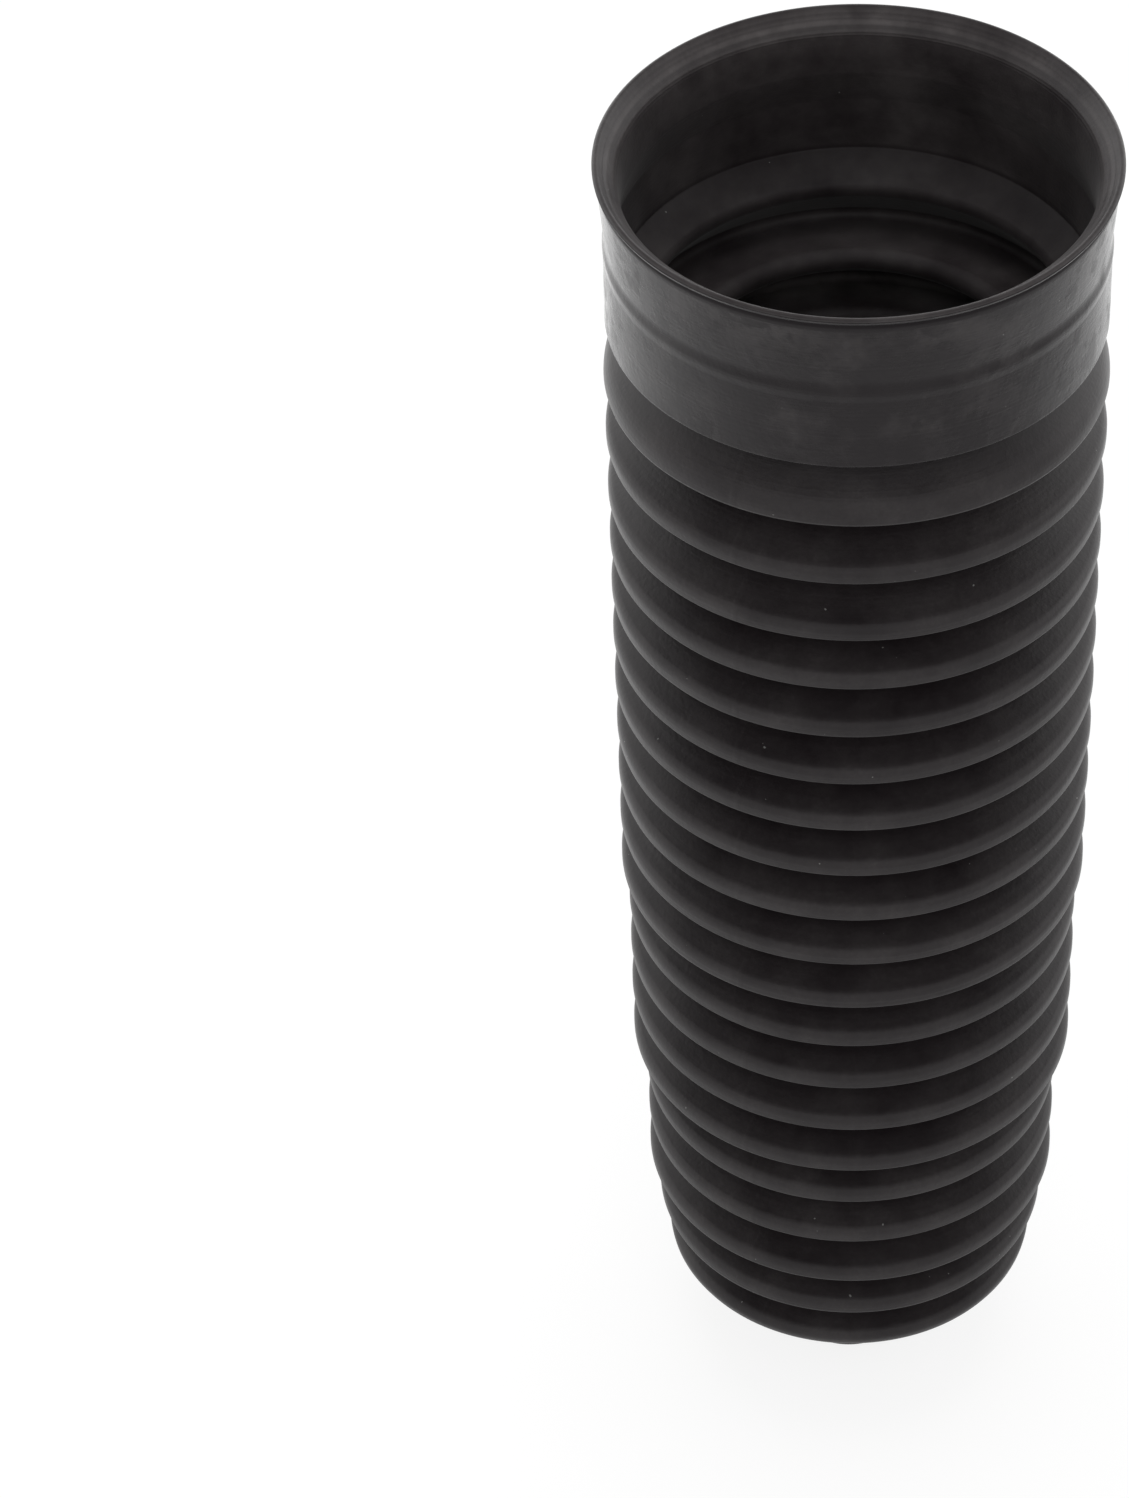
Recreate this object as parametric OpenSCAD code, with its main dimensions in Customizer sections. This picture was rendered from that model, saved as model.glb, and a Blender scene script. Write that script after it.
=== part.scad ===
// Bellows boot: one moulded rubber sleeve with stepped folds between a wide
// clamped mouth and a small cuff. It stands on the cuff, mouth up.

/* [Mouth] */
// Bore of the collar, below the sealing bead
bore_d = 77.8; // [74:0.2:82]
// How far the sealing bead stands into the bore
seal_h = 1.35; // [0.6:0.05:1.8]
// Height of the sealing bead's crest, between its two slopes
seal_land = 4.8; // [4.4:0.1:7]
// Height of the slope under the sealing bead
seal_foot = 6; // [3:0.5:8]
// Radius at the top and foot of that slope
seal_r = 3; // [1:0.5:6]
// Height of the flared lead-in, from the sealing bead to the top
lead_h = 6.1; // [5:0.1:8]
// How much the lead-in widens up to the top, on the radius
lead_w = 2.7; // [2:0.1:3.2]
// Radius that blends the lead-in into the sealing bead
lead_r = 15; // [6:0.5:17]
// Thickness of the rim, outside the lead-in
rim_t = 1.6; // [1.2:0.1:2.2]
// Height of the rim
rim_h = 1.7; // [1.4:0.1:2.4]
// Height of the seat for the band clamp
seat_w = 12.3; // [10:0.1:16]
// Rubber thickness under the clamp seat, at its lower end
seat_t = 1.3; // [1.1:0.05:1.6]
// How much the clamp seat widens up to the rim, on the radius
seat_flare = 1; // [0.5:0.1:1.2]

/* [Collar] */
// Rubber thickness of the collar
collar_t = 1.6; // [1.4:0.05:2.4]
// Height of the collar, from its lower edge to the shoulder bead
collar_h = 14.7; // [10:0.1:24]
// How far the shoulder bead stands out from the collar
bead_h = 0.4; // [0.3:0.1:0.7]
// Height of the shoulder bead
bead_w = 3.2; // [2.6:0.1:5]
// Slope of the ledge inside the collar's lower end, in degrees
ledge_slope = 41; // [30:1:48]

/* [Folds] */
// Rubber thickness in the folds
wall = 1.3; // [1:0.1:1.5]
// Outside diameter of the first main fold
main_d = 81.9; // [79:0.1:85]
// Number of main folds
main_folds = 11; // [6:1:14]
// Outside diameter of the first middle fold
mid_d = 78.4; // [76:0.1:80]
// Number of middle folds
mid_folds = 4; // [1:1:6]
// Outside diameter of the first lower fold
low_d = 73.7; // [72:0.1:78]
// Number of lower folds
low_folds = 3; // [1:1:5]
// Drop in radius from one fold to the next of the same kind
draft = 0.06; // [0:0.01:0.15]
// Further drop in radius at each of the tapering end folds
end_step = 1.65; // [1:0.05:2.4]
// Number of tapering end folds
end_folds = 2; // [1:1:3]
// Spacing of the wider folds below the collar
wide_pitch = 11.9; // [11:0.1:14]
// Number of wider folds
wide_folds = 3; // [1:1:5]
// Spacing of the other folds
pitch = 10.3; // [9.8:0.1:12]
// Radial depth from a crest to the corner of its root
fold_depth = 15.2; // [12:0.1:16]
// Radial depth of the first root, inside the collar's lower edge
first_depth = 5.6; // [4:0.1:8]
// Height of the upright band on each crest
band_h = 2.9; // [2.6:0.1:3.4]
// How far a root lies above the crest edge that overhangs it
root_rise = 2; // [1:0.1:5]
// Drop of the first root below the collar's lower edge
first_drop = 1.5; // [0:0.1:2]
// How much of the band the rounded shoulder takes up, at its top
shoulder_h = 1.5; // [0.6:0.1:1.7]
// The same on the first fold, which is rounder
first_shoulder_h = 2.1; // [0.6:0.1:2.2]
// Radius of the lower edges of the collar and the crests
edge_r = 0.5; // [0.3:0.1:0.7]
// Outside radius at a root
root_r = 0.8; // [0.5:0.1:1]
// Inside radius behind a crest
hollow_r = 1.2; // [0.5:0.1:1.5]

/* [Cuff] */
// Bore of the cuff that grips the rod
cuff_bore = 17; // [13:0.5:20]
// Rubber thickness under the clip seat
clip_t = 1.7; // [1.4:0.1:2.4]
// How far the end beads stand out from the clip seat
clip_lip = 1; // [0.6:0.1:2]
// Width of the clip seat
clip_w = 7; // [5:0.1:9]
// Height of each end bead of the cuff
cuff_bead = 2.6; // [2:0.1:4]
// Height of the sloping end wall between cuff and last fold
end_h = 12.7; // [10:0.1:18]
// Radius of the turn from the last fold into the end wall
end_r = 2.2; // [1.5:0.1:2.4]

/* [Hidden] */
$fn = 96;
// Largest turn between two facets of a rounded corner, in degrees
arc_step = 24;
// Small rounding of moulded edges
soft = 0.5;
// Larger rounding, on the shoulder bead and where the cuff's bore opens out
broad = 1;
// Largest part of a side that the roundings at its two ends may take up
side_share = 0.96;

bore_r = bore_d / 2;
lead_top_r = bore_r - seal_h + lead_w;
rim_r = lead_top_r + rim_t;
seat_r = bore_r + seat_t;
collar_r = bore_r + collar_t;
clip_r = cuff_bore / 2 + clip_t;
cuff_r = clip_r + clip_lip;

upper_folds = main_folds + mid_folds;
full_folds = upper_folds + low_folds;
folds = full_folds + end_folds;
cuff_h = 2 * cuff_bead + clip_w;
stack_h = wide_folds * wide_pitch + (folds - wide_folds) * pitch;
collar_z = cuff_h + end_h + stack_h;
bead_z = collar_z + collar_h;
seat_z = bead_z + bead_w / 2;
rim_z = seat_z + seat_w;
top_z = rim_z + rim_h;

// Crest radius of fold k, counted from the collar down
function crest(k) =
    k <= main_folds ? main_d / 2 - draft * (k - 1)
    : k <= upper_folds ? mid_d / 2 - draft * (k - main_folds - 1)
    : low_d / 2 - draft * (k - upper_folds - 1) - end_step * max(k - full_folds, 0);

// Height of the lower crest edge of fold k
function edge_z(k) = collar_z - wide_pitch * min(k, wide_folds) - pitch * max(k - wide_folds, 0);

// Outer corner of the root above fold k; the one past the last fold is the top of the cuff
function root(k) =
    k == 1 ? [collar_r - first_depth, collar_z - first_drop]
    : k > folds ? [cuff_r, cuff_h]
    : [crest(k) - fold_depth, edge_z(k - 1) + root_rise];

function shoulder(k) = [crest(k), edge_z(k) + band_h];
function edge(k) = [crest(k), edge_z(k)];

// Where the line through a and b crosses the line through c and d
function cross_point(a, b, c, d) =
    let (u = b - a, v = d - c, w = c - a)
    a + u * (w[0] * v[1] - w[1] * v[0]) / (u[0] * v[1] - u[1] * v[0]);

// Point where fold k would end if its flank and underside ran on past the band
function tip(k) = cross_point(root(k), shoulder(k), root(k + 1), edge(k));

// Corner b of the path a-b-c, moved to the rubber's other face at thickness t
function inset(a, b, c, t) =
    let (
        u = (b - a) / norm(b - a),
        v = (c - b) / norm(c - b),
        n = [u[1] + v[1], -u[0] - v[0]]
    )
    b + t * n / (1 + u * v);

// Point b with a rounding radius r
function corner(b, r) = [b[0], b[1], r];

// Half the angle at corner b between points a and c
function half_angle(a, b, c) = acos((a - b) * (c - b) / (norm(a - b) * norm(c - b))) / 2;

// Radius of the rounding at corner b that takes up a given length of its two sides
function bend(a, b, c, length) = length * tan(half_angle(a, b, c));

// Corner i of a closed path, without its rounding
function point(path, i) = let (p = path[(i + len(path)) % len(path)]) [p[0], p[1]];

// Length of its two sides that the rounding of corner i takes up
function reach(path, i) =
    let (k = (i + len(path)) % len(path))
    path[k][2] / tan(half_angle(point(path, k - 1), point(path, k), point(path, k + 1)));

// Rounding of corner i, limited by the side it shares with corner k
function limit(path, i, k) =
    path[i][2] * side_share * norm(point(path, i) - point(path, k)) / (reach(path, i) + reach(path, k));

// Arc of radius r that rounds corner b between points a and c
function arc(a, b, c, r) =
    let (
        u = (a - b) / norm(a - b),
        v = (c - b) / norm(c - b),
        half = half_angle(a, b, c),
        centre = b + (u + v) / norm(u + v) * r / sin(half),
        p = b + u * r / tan(half) - centre,
        q = b + v * r / tan(half) - centre,
        from = atan2(p[1], p[0]),
        turn = atan2(p[0] * q[1] - p[1] * q[0], p * q),
        steps = max(ceil(abs(turn) / arc_step), 2)
    )
    [for (i = [0 : steps]) centre + r * [cos(from + turn * i / steps), sin(from + turn * i / steps)]];

// Closed outline with each corner of [radius, height, rounding] turned into an arc
function rounded(path) = [
    for (i = [0 : len(path) - 1])
    each path[i][2] == 0 ? [point(path, i)]
        : arc(point(path, i - 1), point(path, i), point(path, i + 1),
            min(path[i][2], limit(path, i, i - 1), limit(path, i, i + 1)))
];

// Outside of the mouth and collar, from the rim down
mouth_outside = [
    corner([rim_r, top_z], soft),
    corner([rim_r, rim_z], soft),
    corner([seat_r + seat_flare, rim_z - soft], 0),
    corner([seat_r, seat_z], soft),
    corner([collar_r + bead_h, bead_z], broad),
    corner([collar_r, bead_z - bead_w / 2], 0),
    corner([collar_r, collar_z], edge_r)
];

// Rounding of fold k's shoulder
function shoulder_bend(k) =
    bend(root(k), shoulder(k), edge(k), k == 1 ? first_shoulder_h : shoulder_h);

// Outside of the folds, from the collar down
folds_outside = [
    for (k = [1 : folds])
    each [
        corner(root(k), root_r),
        corner(shoulder(k), shoulder_bend(k)),
        corner(edge(k), k == folds ? end_r : edge_r)
    ]
];

// The cuff with its clip seat, down the outside and up the bore
cuff = [
    corner([cuff_r, cuff_h], soft),
    corner([cuff_r, cuff_h - cuff_bead], soft),
    corner([clip_r, cuff_h - cuff_bead], soft),
    corner([clip_r, cuff_bead], soft),
    corner([cuff_r, cuff_bead], soft),
    corner([cuff_r, 0], soft),
    corner([cuff_bore / 2, 0], soft)
];

// Inside of the end wall's foot, where it meets the cuff's bore
function end_foot() =
    let (a = root(folds), b = tip(folds), c = root(folds + 1), p = inset(a, b, c, wall))
    cross_point(p, p + c - b, [cuff_bore / 2, 0], [cuff_bore / 2, 1]);

// Inside of the folds, from the cuff up
folds_inside = [
    for (k = [folds : -1 : 1])
    let (before = k == 1 ? root(1) + [cos(ledge_slope), sin(ledge_slope)] : tip(k - 1))
    each [
        corner(inset(root(k), tip(k), root(k + 1), wall), k == folds ? end_r - wall : hollow_r),
        corner(inset(before, root(k), tip(k), wall), root_r + wall)
    ]
];

// Corner where the ledge meets the collar's bore
function ledge_top() =
    let (p = point(folds_inside, -1))
    cross_point(p, p + [cos(ledge_slope), sin(ledge_slope)], [bore_r, 0], [bore_r, 1]);

// Bore of the collar, its sealing bead and the flared lead-in, going up
seal_top_z = top_z - lead_h;
seal_foot_z = seal_top_z - seal_land;
mouth_inside = [
    corner(ledge_top(), soft),
    corner([bore_r, seal_foot_z - seal_foot], seal_r),
    corner([bore_r - seal_h, seal_foot_z], seal_r),
    corner([bore_r - seal_h, seal_top_z], lead_r),
    corner([lead_top_r, top_z], soft)
];

section = rounded(concat(
    mouth_outside, folds_outside, cuff, [corner(end_foot(), broad)], folds_inside, mouth_inside
));

module boot() {
    color("#2b2b2d")
    rotate_extrude()
    polygon(section);
}

boot();
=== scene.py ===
"""Looks of a moulded rubber bellows boot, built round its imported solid."""

import logging
from dataclasses import dataclass, field
from enum import Enum
from functools import reduce
from math import acos, atan2, cos, hypot, pi, radians, sin, tan
from typing import NamedTuple

import bmesh
import bpy
from mathutils import Matrix, Vector


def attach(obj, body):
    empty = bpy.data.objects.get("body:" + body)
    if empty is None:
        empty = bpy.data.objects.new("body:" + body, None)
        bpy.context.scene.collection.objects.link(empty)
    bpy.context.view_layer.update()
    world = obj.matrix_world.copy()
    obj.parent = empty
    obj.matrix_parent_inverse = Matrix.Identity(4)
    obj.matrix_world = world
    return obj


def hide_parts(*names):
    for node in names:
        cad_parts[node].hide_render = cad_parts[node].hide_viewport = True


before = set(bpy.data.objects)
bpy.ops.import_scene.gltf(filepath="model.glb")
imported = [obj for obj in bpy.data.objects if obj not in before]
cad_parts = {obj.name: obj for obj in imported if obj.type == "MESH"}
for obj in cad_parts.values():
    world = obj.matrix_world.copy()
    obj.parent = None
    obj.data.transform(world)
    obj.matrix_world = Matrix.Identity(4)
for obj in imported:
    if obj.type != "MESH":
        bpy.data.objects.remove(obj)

LOG = logging.getLogger("boot")
MM = 0.001
WELD = 0.001 * MM

Point = tuple[float, float]
Triple = tuple[float, float, float]
Socket = bpy.types.NodeSocket


class Zone(Enum):
    """Where on the boot a ring of the section lies, which sets its gloss and its chalk."""

    # Painted shade: no chalk darkens the crease under the rim.
    CREASE = -1.0
    FOLD = 0.0
    COLLAR = 1.0
    RIM = 1.5
    LIP = 2.0
    BORE = 3.0
    LEDGE = 4.0
    HOLLOW = 5.0
    # Painted light: heavy chalk lifts the shade in the deeper folds.
    DEEP_PAINTED_LIGHT = 6.0


class Corner(NamedTuple):
    """A corner of the section, or a point on one of its roundings.

    Attributes:
        x, z: Distance from the axis and height, in millimetres.
        bend, steps: Radius of its rounding, in millimetres, and number of its steps.
        zone: Where on the boot it lies.
        crest: 1 on a crest, which is rubbed and dusty, and 0 elsewhere.
    """

    x: float
    z: float
    bend: float = 0.0
    zone: Zone = Zone.FOLD
    crest: float = 0.0
    steps: int = 2


class Pattern(NamedTuple):
    """A noise pattern, or the patches that are cut out of one.

    Attributes:
        size: Size of what it shows, in metres.
        octaves, rough: Number of the finer layers on it, and their weight.
        seed: Sets it apart from the other patterns.
        step: Values at which its patches begin and are full.
    """

    size: float
    octaves: float
    rough: float
    seed: float = 0.0
    step: Point = (0.0, 1.0)


SOFT_WALL = Pattern(1 / 28, 1, 0.4)


class Nodes:
    """A short way to write a node tree."""

    def __init__(self, tree: bpy.types.NodeTree) -> None:
        """Keep the tree that the calls add to."""
        self.tree = tree

    def find(self, kind: str) -> bpy.types.Node:
        """Return the tree's first node of a kind."""
        return next(n for n in self.tree.nodes if n.bl_idname == kind)

    def add(self, kind: str, *values: object, **settings: object) -> bpy.types.Node:
        """Add a node, set its properties and fill its inputs.

        Args:
            kind: The node's type name.
            values: A socket or a plain value for each input in turn, or None to leave it alone.
            settings: Property names and their values.

        Returns:
            The new node.
        """
        node = self.tree.nodes.new(kind)
        for name, value in settings.items():
            setattr(node, name, value)
        for value, target in zip(values, node.inputs):
            if value is not None:
                self.join(value, target)
        return node

    def join(self, source: object, target: Socket) -> None:
        """Link a socket to an input, or set the input to a plain value.

        Args:
            source: The socket, or the value.
            target: The input.
        """
        if isinstance(source, Socket):
            self.tree.links.new(source, target)
        else:
            target.default_value = source

    def math(self, operation: str, *values: object) -> Socket:
        """Put sockets or numbers through a math operation, for shaders and for geometry alike."""
        return self.add("ShaderNodeMath", *values, operation=operation).outputs[0]

    def times(self, *values: object) -> Socket:
        """Multiply a row of sockets or numbers."""
        return reduce(lambda first, second: self.math("MULTIPLY", first, second), values)

    def plus(self, *values: object) -> Socket:
        """Add up a row of sockets or numbers."""
        return reduce(lambda first, second: self.math("ADD", first, second), values)

    def about(self, pattern: object, amount: object) -> Socket:
        """Return how far a pattern is from its middle, times an amount."""
        return self.times(self.math("SUBTRACT", pattern, 0.5), amount)

    def mix(self, factor: object, low: object, high: object) -> Socket:
        """Blend two numbers, where a factor of 1 gives the second."""
        return self.add("ShaderNodeMix", factor, None, low, high, data_type="FLOAT").outputs[0]

    def colour(self, factor: object, low: object, high: object) -> Socket:
        """Blend two colours in the same way, sockets or plain ones."""
        sides = [(*side, 1.0) if isinstance(side, tuple) else side for side in (low, high)]
        return self.add("ShaderNodeMix", factor, *[None] * 5, *sides, data_type="RGBA").outputs[2]

    def ramp(self, value: object, stops: tuple[Point, ...]) -> Socket:
        """Map a value through straight stretches between stops.

        Args:
            value: The socket to map.
            stops: Pairs of input and output.

        Returns:
            The mapped value.
        """
        low, high = stops[0][0], stops[-1][0]
        least = min(s[1] for s in stops)
        most = max(s[1] for s in stops)
        across = self.add("ShaderNodeMapRange", value, low, high, 0.0, 1.0, clamp=True).outputs[0]
        curve = self.add("ShaderNodeFloatCurve")
        points = curve.mapping.curves[0].points
        while len(points) < len(stops):
            points.new(0.5, 0.5)
        for point, (x, y) in zip(points, stops):
            point.location = ((x - low) / (high - low), (y - least) / (most - least))
            point.handle_type = "VECTOR"
        curve.mapping.update()
        self.join(across, curve.inputs["Value"])
        return self.math("MULTIPLY_ADD", curve.outputs[0], most - least, least)

    def fade(self, value: object, low: object, high: object) -> Socket:
        """Make a smooth step, from 0 where a value is at low to 1 where it is at high."""
        ends = value, low, high, 0.0, 1.0
        return self.add("ShaderNodeMapRange", *ends, interpolation_type="SMOOTHSTEP").outputs[0]

    def parts(self, place: Socket) -> tuple[Socket, ...]:
        """Return a vector's x, y and z."""
        return tuple(self.add("ShaderNodeSeparateXYZ", place).outputs)

    def bump(self, height: Socket, distance: object, normal: Socket | None = None) -> Socket:
        """Lay a relief on a normal, where a height of 1 is as high as the distance, in metres."""
        return self.add("ShaderNodeBump", None, distance, None, height, normal).outputs[0]

    def noise(self, place: Socket, pattern: Pattern, seed: Socket | None = None) -> Socket:
        """Draw a noise pattern, with its own seed or with a socket's."""
        look = seed or pattern.seed, 1 / pattern.size, pattern.octaves, pattern.rough
        return self.add("ShaderNodeTexNoise", place, *look, noise_dimensions="4D").outputs[0]

    def patches(self, place: Socket, pattern: Pattern) -> Socket:
        """Return a pattern's patches: 1 on them, 0 between them."""
        return self.fade(self.noise(place, pattern), *pattern.step)

    def glow(self, strength: object) -> Socket:
        """Return the shader of a white light."""
        return self.add("ShaderNodeEmission", None, strength).outputs[0]


def new_material(name: str) -> tuple[bpy.types.Material, Nodes]:
    """Make a material.

    Args:
        name: Its name.

    Returns:
        The material and its nodes.
    """
    made = bpy.data.materials.new(name)
    made.use_nodes = True
    return made, Nodes(made.node_tree)


def new_object(name: str, data: bpy.types.ID) -> bpy.types.Object:
    """Make an object and put it in the scene.

    Args:
        name: Its name.
        data: Its mesh, lamp or camera.

    Returns:
        The object, at the origin.
    """
    made = bpy.data.objects.new(name, data)
    bpy.context.scene.collection.objects.link(made)
    return made


class Marks(NamedTuple):
    """What the rubber's colour, gloss and relief share: two attributes and the patterns at a place."""

    place: Socket
    zone: Socket
    crest: Socket
    smear: Socket
    grain: Socket
    blots: Socket
    rings: Socket


@dataclass(frozen=True)
class RubberFinish:
    """Black moulded rubber.

    Attributes:
        name: Name of the material.
        base, chalk, dust: Linear colours of the bare rubber, of the chalk on it, which the deep folds also
            take as painted light, and of a speck of dust.
        gloss, powder_and_painted_light: Roughness and share of chalk of each zone, in their order, where the
            crease's missing chalk is painted shade and the deep folds' heavy chalk is painted light.
        ior, sheen, sheen_rough: Index of refraction, and weight and roughness of the faint sheen.
        tight, close, wide: How far off a zone its narrow, usual and wide masks reach.
        smears, grain: Smears, strongest on the collar, and the fine grain.
        blots, clouds: Dark blots on the collar, and where they gather.
        smudges: Pale smudges on the collar.
        specks, drifts: Specks of dust, and where they gather.
        lip_rings, fine_rings: Turned rings per metre of height, on the lip and finer everywhere.
        smear_gloss: How much the smears change the roughness, off the collar and on it.
        blot_gloss, grain_gloss: How much a blot adds to it, and how much the grain changes it.
        smear_chalk, ring_chalk: Factors of the chalk for values of the smears and of the lip's rings.
        blot_chalk, smudge_chalk: Share of the chalk that a blot takes away, and chalk that a smudge adds.
        crest_chalk, crest_step: Least and greatest chalk that a crest adds, and the grain's values for them.
        drift_share, crest_dust: How much the drifts and a crest decide where specks are.
        speck_step: Values of all that at which a speck begins and is full.
        grain_h, ring_h, lip_ring_h, blot_h: Heights of those marks, in metres.
        smear_h: Height of the smears, off the collar and on it, in metres.
        seams, seam_h: Angles of the lines that the mould has left, in degrees, and their height, in metres.
        seam_step: Angles off a line at which it begins and is full, in radians.
    """

    name: str
    base: Triple = (0.0078, 0.0049, 0.0062)
    chalk: Triple = (0.078, 0.0705, 0.07)
    dust: Triple = (0.16, 0.16, 0.155)
    gloss: tuple[float, ...] = (0.7, 0.37, 0.2, 0.38, 0.42, 0.38, 0.42, 0.5, 0.5)
    # The crease's 0.0 is painted shade, and the deep folds' 0.95 is painted light.
    powder_and_painted_light: tuple[float, ...] = (0.0, 0.045, 0.03, 0.3, 0.5, 0.4, 0.17, 0.26, 0.95)
    ior: float = 1.4
    sheen: float = 0.08
    sheen_rough: float = 0.4
    tight: float = 0.1
    close: float = 0.4
    wide: float = 0.55
    smears: Pattern = Pattern(0.011, 5, 0.6, 3.0)
    grain: Pattern = Pattern(0.0007, 2, 0.5, 10.0)
    clouds: Pattern = Pattern(0.025, 3, 0.5, 16.0, (0.36, 0.52))
    blots: Pattern = Pattern(0.006, 4, 0.6, 22.0, (0.49, 0.61))
    smudges: Pattern = Pattern(1 / 75, 4, 0.6, 40.0, (0.46, 0.68))
    specks: Pattern = Pattern(1 / 1400, 0, 0.5, 32.0)
    drifts: Pattern = Pattern(1 / 90, 1, 0.5, 34.0)
    lip_rings: float = 900.0
    fine_rings: float = 2200.0
    smear_gloss: Point = (0.12, 0.55)
    blot_gloss: float = 0.12
    grain_gloss: float = 0.06
    smear_chalk: tuple[Point, ...] = ((0.3, 0.3), (0.5, 1.0), (0.7, 1.9))
    ring_chalk: tuple[Point, ...] = ((0.35, 0.7), (0.65, 1.25))
    blot_chalk: float = 0.9
    smudge_chalk: float = 0.24
    crest_chalk: Point = (0.12, 0.18)
    crest_step: Point = (0.3, 0.8)
    drift_share: float = 0.3
    crest_dust: float = 0.02
    speck_step: Point = (1.045, 1.075)
    grain_h: float = 0.00004
    ring_h: float = 0.00002
    lip_ring_h: float = 0.00012
    smear_h: Point = (0.0001, 0.00016)
    blot_h: float = 0.00002
    seam_h: float = 0.00003
    seam_step: Point = (0.02, 0.004)
    seams: Point = (-118.0, -89.0)

    def by_zone(self, values: tuple[float, ...]) -> tuple[Point, ...]:
        """Pair each zone's number with its value, as a ramp's stops."""
        return tuple((zone.value, value) for zone, value in zip(Zone, values))

    def material(self) -> bpy.types.Material:
        """Build the material.

        Returns:
            The finished material.
        """
        made, tree = new_material(self.name)
        marks = self.marks(tree)
        inputs = tree.find("ShaderNodeBsdfPrincipled").inputs
        inputs["IOR"].default_value = self.ior
        inputs["Sheen Weight"].default_value = self.sheen
        inputs["Sheen Roughness"].default_value = self.sheen_rough
        tree.join(self.roughness(tree, marks), inputs["Roughness"])
        tree.join(self.colour(tree, marks), inputs["Base Color"])
        tree.join(self.relief(tree, marks), inputs["Normal"])
        return made

    def marks(self, tree: Nodes) -> Marks:
        """Build what the colour, the gloss and the relief share.

        Args:
            tree: The material's nodes.

        Returns:
            The marks on the rubber.
        """
        place = tree.add("ShaderNodeTexCoord").outputs["Object"]
        zone, crest = (
            tree.add("ShaderNodeAttribute", attribute_name=name).outputs["Fac"] for name in ("zone", "crest")
        )
        collar = self.mask(tree, zone, Zone.COLLAR, self.tight)
        blots = tree.times(tree.patches(place, self.blots), collar, tree.patches(place, self.clouds))
        smear, grain = tree.noise(place, self.smears), tree.noise(place, self.grain)
        return Marks(place, zone, crest, smear, grain, blots, self.rings(tree, place, self.lip_rings))

    def mask(self, tree: Nodes, number: Socket, zone: Zone, reach: float) -> Socket:
        """Return 1 where a spot's number is within reach of a zone's, and 0 elsewhere."""
        return tree.math("COMPARE", number, zone.value, reach)

    def rings(self, tree: Nodes, place: Socket, number: float) -> Socket:
        """Build the rings that turning has left in the mould.

        Args:
            tree: The material's nodes.
            place: The Object coordinates.
            number: How many there are, per metre of height.

        Returns:
            Their height, about 0 to 1.
        """
        lines = tree.add("ShaderNodeTexNoise", noise_dimensions="1D")
        tree.join(tree.parts(place)[2], lines.inputs["W"])
        lines.inputs["Scale"].default_value = number
        return lines.outputs[0]

    def roughness(self, tree: Nodes, marks: Marks) -> Socket:
        """Build the rubber's roughness.

        Args:
            tree, marks: The material's nodes, and the marks on the rubber.

        Returns:
            The roughness.
        """
        collar = self.mask(tree, marks.zone, Zone.COLLAR, self.tight)
        return tree.plus(
            tree.ramp(marks.zone, self.by_zone(self.gloss)),
            tree.about(marks.smear, tree.mix(collar, *self.smear_gloss)),
            tree.times(marks.blots, self.blot_gloss),
            tree.about(marks.grain, self.grain_gloss),
        )

    def colour(self, tree: Nodes, marks: Marks) -> Socket:
        """Build the rubber's colour.

        Args:
            tree, marks: The material's nodes, and the marks on the rubber.

        Returns:
            The colour.
        """
        lip = self.mask(tree, marks.zone, Zone.LIP, self.wide)
        collar = self.mask(tree, marks.zone, Zone.COLLAR, self.close)
        turned = tree.mix(lip, 1.0, tree.ramp(marks.rings, self.ring_chalk))
        rubbed = tree.mix(tree.fade(marks.grain, *self.crest_step), *self.crest_chalk)
        bare = tree.math("SUBTRACT", 1.0, tree.times(marks.blots, self.blot_chalk))
        # Chalk share of each zone, which holds the crease's painted shade and the deep folds' painted light,
        # with rubbed crests and smudges.
        chalk_and_painted_light = tree.plus(
            tree.times(tree.ramp(marks.zone, self.by_zone(self.powder_and_painted_light)), turned),
            tree.times(marks.crest, rubbed),
            tree.times(tree.patches(marks.place, self.smudges), collar, self.smudge_chalk),
        )
        chalk_and_painted_light = tree.times(chalk_and_painted_light, tree.ramp(marks.smear, self.smear_chalk), bare)
        specks = tree.plus(
            tree.noise(marks.place, self.specks),
            tree.times(tree.noise(marks.place, self.drifts), self.drift_share),
            tree.times(marks.crest, self.crest_dust),
        )
        shade = tree.colour(chalk_and_painted_light, self.base, self.chalk)
        return tree.colour(tree.fade(specks, *self.speck_step), shade, self.dust)

    def relief(self, tree: Nodes, marks: Marks) -> Socket:
        """Build the grain, the rings, the smears, the blots and the mould's lines.

        Args:
            tree, marks: The material's nodes, and the marks on the rubber.

        Returns:
            The normal.
        """
        fold, collar, lip = (
            self.mask(tree, marks.zone, zone, self.close) for zone in (Zone.FOLD, Zone.COLLAR, Zone.LIP)
        )
        x, y, _ = tree.parts(marks.place)
        angle = tree.math("ARCTAN2", y, x)
        normal = tree.bump(marks.grain, self.grain_h)
        normal = tree.bump(self.rings(tree, marks.place, self.fine_rings), self.ring_h, normal)
        normal = tree.bump(marks.rings, tree.times(lip, self.lip_ring_h), normal)
        normal = tree.bump(marks.smear, tree.mix(collar, *self.smear_h), normal)
        normal = tree.bump(marks.blots, self.blot_h, normal)
        for seam in self.seams:
            off = tree.math("ABSOLUTE", tree.math("SUBTRACT", angle, radians(seam)))
            line = tree.fade(off, *self.seam_step)
            normal = tree.bump(line, tree.times(fold, self.seam_h), normal)
        return normal


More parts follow.
